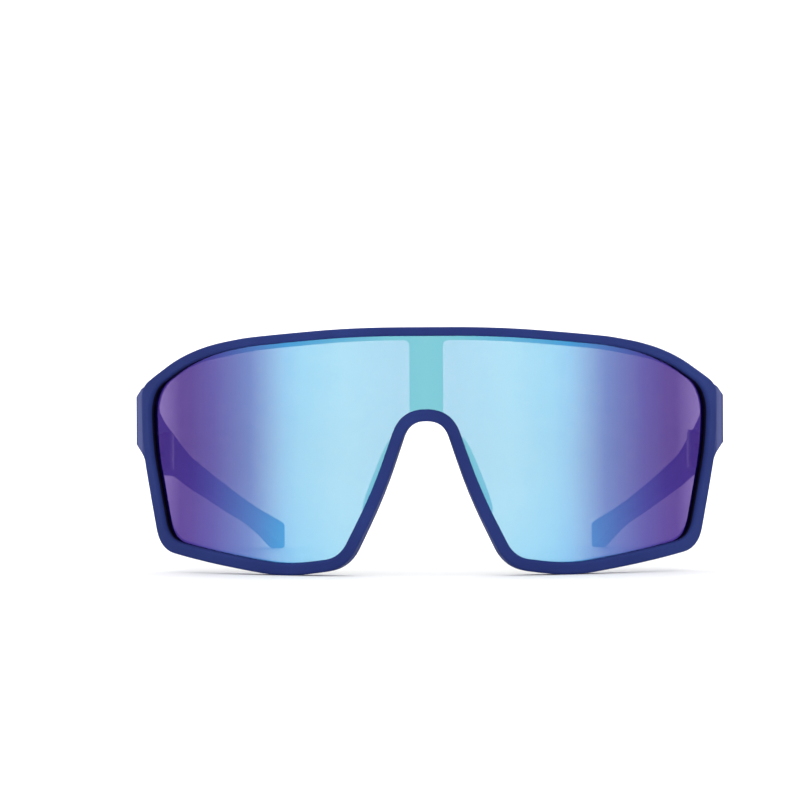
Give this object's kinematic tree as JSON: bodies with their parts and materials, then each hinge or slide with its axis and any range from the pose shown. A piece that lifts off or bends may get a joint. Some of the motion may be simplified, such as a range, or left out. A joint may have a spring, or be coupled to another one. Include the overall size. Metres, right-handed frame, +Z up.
{
  "type": "wraparound sport sunglasses",
  "caption": "Wraparound shield sunglasses with a one-piece mirrored lens in a full rim, riveted steel hinges and folding temples.",
  "frame": {"origin": "centre of the box around the open glasses, on the table they stand on", "axes": "+Z up, -Y the way the lens faces, +X towards the wearer's left"},
  "size_m": [0.1476, 0.152, 0.0599],
  "materials": {
    "frame_plastic": "matte navy, lightly textured",
    "temple_plastic": "matte navy, lightly textured",
    "mirror_lens": "tinted polycarbonate with a blue to purple mirror coating",
    "pad_rubber": "soft matte",
    "sleeve_rubber": "soft matte",
    "hinge_steel": "satin",
    "spring_steel": "bare wire and blade"
  },
  "bodies": {
    "front": {"front_frame": "frame_plastic", "shield_lens": "mirror_lens", "nose_pad_left": "pad_rubber", "nose_pad_right": "pad_rubber", "nose_pad_core_left": "spring_steel", "nose_pad_core_right": "spring_steel", "front_hinge_leaf_left": "hinge_steel", "front_hinge_leaf_right": "hinge_steel", "front_leaf_rivets_left": "hinge_steel", "front_leaf_rivets_right": "hinge_steel", "hinge_screw_left": "hinge_steel", "hinge_screw_right": "hinge_steel"},
    "temple_left": {"temple_arm_left": "temple_plastic", "temple_sleeve_left": "sleeve_rubber", "temple_core_left": "spring_steel", "temple_hinge_leaf_left": "hinge_steel", "temple_leaf_rivets_left": "hinge_steel"},
    "temple_right": {"temple_arm_right": "temple_plastic", "temple_sleeve_right": "sleeve_rubber", "temple_core_right": "spring_steel", "temple_hinge_leaf_right": "hinge_steel", "temple_leaf_rivets_right": "hinge_steel"}
  },
  "joints": [
    {"name": "temple_left_fold", "type": "hinge", "parent": "front", "child": "temple_left", "pos_m": [0.0665, -0.033, 0.0295], "axis": [0, 0, 1], "range_deg": [0, 88]},
    {"name": "temple_right_fold", "type": "hinge", "parent": "front", "child": "temple_right", "pos_m": [-0.0665, -0.033, 0.0295], "axis": [0, 0, -1], "range_deg": [0, 78]}
  ]
}
